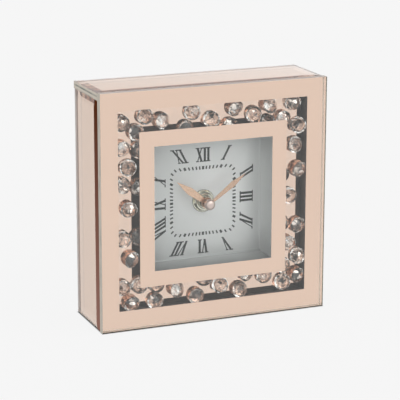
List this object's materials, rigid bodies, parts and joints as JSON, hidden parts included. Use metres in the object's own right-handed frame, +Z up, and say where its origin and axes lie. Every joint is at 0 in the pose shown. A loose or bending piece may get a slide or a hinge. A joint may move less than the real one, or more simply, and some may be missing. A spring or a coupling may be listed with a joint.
{
  "type": "table clock",
  "caption": "Square table clock clad in bevelled rose mirror glass, with loose cut crystals behind the front glass around a recessed Roman dial, and a quartz movement in the back.",
  "frame": {"origin": "centre of the footprint, on the surface that the clock stands on", "axes": "+X to the right as seen from the front, +Y from the dial to the back, +Z up"},
  "size_m": [0.155, 0.05, 0.155],
  "materials": {
    "clear_glass": "polished, bevelled edges",
    "rose_mirror": "silvered, rose-tinted",
    "black_board": "black lacquered fibreboard",
    "black_felt": "pressed felt",
    "crystal": "cut and polished",
    "silver_dial": "satin",
    "rose_metal": "anodised, polished",
    "brass": "turned",
    "gasket_rubber": "matt",
    "black_plastic": "fine moulded grain",
    "pale_plastic": "moulded",
    "magnet": "ground",
    "plated_steel": "nickel plated",
    "copper_wire": "enamelled copper wire",
    "green_board": "solder resist",
    "battery_jacket": "printed jacket with a bare nub"
  },
  "bodies": {
    "clock": {"back_panel": "black_board", "back_screws": "plated_steel", "base_felt": "black_felt", "carcass_bottom": "black_board", "carcass_left": "black_board", "carcass_right": "black_board", "carcass_top": "black_board", "channel_mirror_bottom": "rose_mirror", "channel_mirror_left": "rose_mirror", "channel_mirror_right": "rose_mirror", "channel_mirror_top": "rose_mirror", "circuit_board": "green_board", "clock_chip": "black_plastic", "coil_bobbin": "pale_plastic", "coil_winding": "copper_wire", "contact_minus": "plated_steel", "contact_plus": "plated_steel", "crystals_bottom": "crystal", "crystals_left": "crystal", "crystals_right": "crystal", "crystals_top": "crystal", "dial_board": "black_board", "dial_border_coat": "rose_mirror", "dial_nut": "brass", "dial_plate": "silver_dial", "dial_washer": "brass", "front_border_coat": "rose_mirror", "front_glass": "clear_glass", "left_coat": "rose_mirror", "left_mirror": "clear_glass", "moulding_bottom": "black_board", "moulding_left": "black_board", "moulding_right": "black_board", "moulding_top": "black_board", "movement_case": "black_plastic", "movement_cover": "black_plastic", "quartz_can": "plated_steel", "right_coat": "rose_mirror", "right_mirror": "clear_glass", "rubber_gasket": "gasket_rubber", "stator": "plated_steel", "threaded_bush": "brass", "top_coat": "rose_mirror", "top_mirror": "clear_glass", "train_bridge": "pale_plastic"},
    "minute_group": {"minute_arbor": "brass", "minute_hand": "rose_metal", "hand_cap": "rose_metal"},
    "hour_group": {"hour_wheel": "pale_plastic", "hour_hand": "rose_metal"},
    "motion_wheel": {"motion_wheel": "pale_plastic"},
    "setting_knob": {"setting_knob": "black_plastic"},
    "rotor": {"rotor": "magnet"},
    "fifth_wheel": {"fifth_wheel": "pale_plastic"},
    "seconds_wheel": {"seconds_wheel": "pale_plastic"},
    "third_wheel": {"third_wheel": "pale_plastic"},
    "centre_wheel": {"centre_wheel": "pale_plastic"},
    "battery": {"battery": "battery_jacket"}
  },
  "joints": [
    {"name": "minute_turn", "type": "hinge", "parent": "clock", "child": "minute_group", "pos_m": [0, 0.01, 0.0749], "axis": [0, 1, 0], "continuous": true},
    {"name": "hour_turn", "type": "hinge", "parent": "clock", "child": "hour_group", "pos_m": [0, 0.01, 0.0749], "axis": [0, 1, 0], "continuous": true},
    {"name": "motion_turn", "type": "hinge", "parent": "clock", "child": "motion_wheel", "pos_m": [-0.00827, 0.01, 0.07636], "axis": [0, 1, 0], "continuous": true},
    {"name": "setting_turn", "type": "hinge", "parent": "clock", "child": "setting_knob", "pos_m": [-0.01617, 0.01, 0.07349], "axis": [0, 1, 0], "continuous": true},
    {"name": "rotor_turn", "type": "hinge", "parent": "clock", "child": "rotor", "pos_m": [-0.00892, 0.01, 0.08812], "axis": [0, 1, 0], "continuous": true},
    {"name": "fifth_turn", "type": "hinge", "parent": "clock", "child": "fifth_wheel", "pos_m": [-0.00372, 0.01, 0.08512], "axis": [0, 1, 0], "continuous": true},
    {"name": "seconds_turn", "type": "hinge", "parent": "clock", "child": "seconds_wheel", "pos_m": [0, 0.01, 0.0749], "axis": [0, 1, 0], "continuous": true},
    {"name": "third_turn", "type": "hinge", "parent": "clock", "child": "third_wheel", "pos_m": [0.00935, 0.01, 0.0803], "axis": [0, 1, 0], "continuous": true},
    {"name": "centre_turn", "type": "hinge", "parent": "clock", "child": "centre_wheel", "pos_m": [0, 0.01, 0.0749], "axis": [0, 1, 0], "continuous": true},
    {"name": "battery_slide", "type": "slide", "parent": "clock", "child": "battery", "axis": [0, 1, 0], "range_m": [0, 0.026]}
  ],
  "couplings": [
    {"joint": "hour_turn", "follows": "minute_turn", "ratio": 0.083333},
    {"joint": "motion_turn", "follows": "minute_turn", "ratio": -0.33333},
    {"joint": "setting_turn", "follows": "minute_turn", "ratio": 1},
    {"joint": "fifth_turn", "follows": "rotor_turn", "ratio": -0.25},
    {"joint": "seconds_turn", "follows": "rotor_turn", "ratio": 0.033333},
    {"joint": "third_turn", "follows": "rotor_turn", "ratio": -0.0041667},
    {"joint": "centre_turn", "follows": "rotor_turn", "ratio": 0.00055556}
  ]
}
